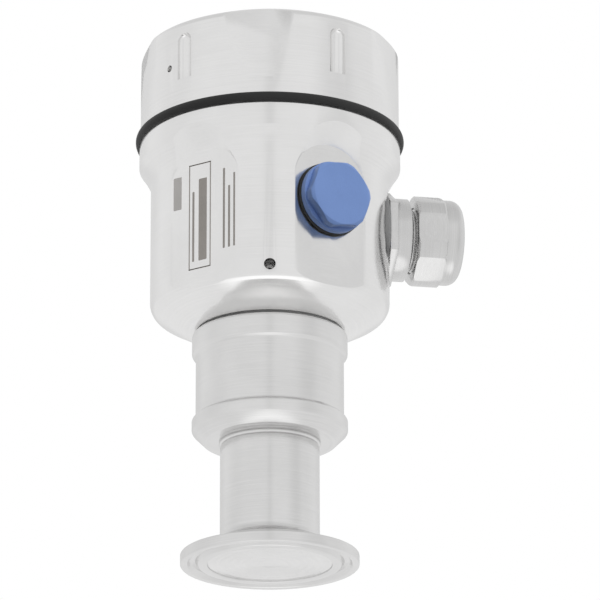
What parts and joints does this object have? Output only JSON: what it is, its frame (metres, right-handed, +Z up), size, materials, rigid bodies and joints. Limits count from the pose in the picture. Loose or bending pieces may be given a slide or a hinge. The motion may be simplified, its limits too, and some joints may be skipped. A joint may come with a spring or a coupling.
{
  "type": "pressure transmitter",
  "caption": "Hygienic pressure transmitter: clamp ferrule with flush diaphragm, neck, turnable steel housing, domed screw cover, cable gland and blue blanking plug.",
  "frame": {"origin": "centre of the clamp ferrule's sealing face", "axes": "+Z up the axis from the ferrule to the cover, +X along the cable gland"},
  "size_m": [0.0942, 0.078, 0.1624],
  "materials": {
    "steel": "satin stainless steel",
    "diaphragm_steel": "rolled stainless foil",
    "plain_steel": "plain turned steel",
    "nickel": "satin nickel plate",
    "black_rubber": "moulded black rubber",
    "blue_plastic": "moulded blue plastic",
    "white_plastic": "moulded",
    "grey_plastic": "moulded",
    "key_plastic": "moulded",
    "board": "solder resist",
    "terminal_plastic": "moulded",
    "lead_sheath": "extruded"
  },
  "bodies": {
    "process_connection": {"ferrule": "steel", "diaphragm": "diaphragm_steel", "capillary": "steel", "neck": "steel", "measuring_cell": "steel", "sensor_lead": "lead_sheath", "swivel_spigot": "steel", "spigot_seal": "black_rubber", "retaining_ring": "plain_steel", "turn_seal": "black_rubber"},
    "housing": {"housing": "steel", "lock_screw": "plain_steel", "electronics_insert": "grey_plastic", "circuit_board": "board", "insert_screws": "plain_steel", "terminal_block": "terminal_plastic", "terminal_screws": "plain_steel", "key_bases": "grey_plastic", "gland_body": "nickel", "gland_gasket": "black_rubber", "gland_seal": "black_rubber"},
    "cover_ring": {"cover_seal": "black_rubber"},
    "cover": {"cover": "steel"},
    "plug": {"blanking_plug": "blue_plastic", "plug_seal": "black_rubber"},
    "clamp_ring": {"gland_clamp": "white_plastic"},
    "nut": {"gland_nut": "nickel"},
    "zero_key": {"zero_key": "key_plastic"},
    "span_key": {"span_key": "key_plastic"}
  },
  "joints": [
    {"name": "housing_turn", "type": "hinge", "parent": "process_connection", "child": "housing", "pos_m": [0, 0, 0.0687], "axis": [0, 0, 1], "range_deg": [-190, 190]},
    {"name": "cover_lift", "type": "slide", "parent": "housing", "child": "cover_ring", "axis": [0, 0, 1], "range_m": [0, 0.06]},
    {"name": "cover_turn", "type": "hinge", "parent": "cover_ring", "child": "cover", "pos_m": [0, 0, 0.1282], "axis": [0, 0, 1], "range_deg": [0, 2070]},
    {"name": "plug_out", "type": "slide", "parent": "housing", "child": "plug", "axis": [0.3746, -0.9272, 0], "range_m": [0, 0.02]},
    {"name": "nut_travel", "type": "slide", "parent": "housing", "child": "clamp_ring", "axis": [1, 0, 0], "range_m": [0, 0.0061]},
    {"name": "nut_turn", "type": "hinge", "parent": "clamp_ring", "child": "nut", "pos_m": [0.045, 0, 0.0995], "axis": [1, 0, 0], "range_deg": [0, 1440]},
    {"name": "zero_press", "type": "slide", "parent": "housing", "child": "zero_key", "axis": [0, 0, -1], "range_m": [0, 0.0005], "stiffness_N_per_m": 2000, "springref_m": -0.0004},
    {"name": "span_press", "type": "slide", "parent": "housing", "child": "span_key", "axis": [0, 0, -1], "range_m": [0, 0.0005], "stiffness_N_per_m": 2000, "springref_m": -0.0004}
  ],
  "couplings": [
    {"joint": "nut_travel", "follows": "nut_turn", "m_per_rad": 0.00023873}
  ]
}
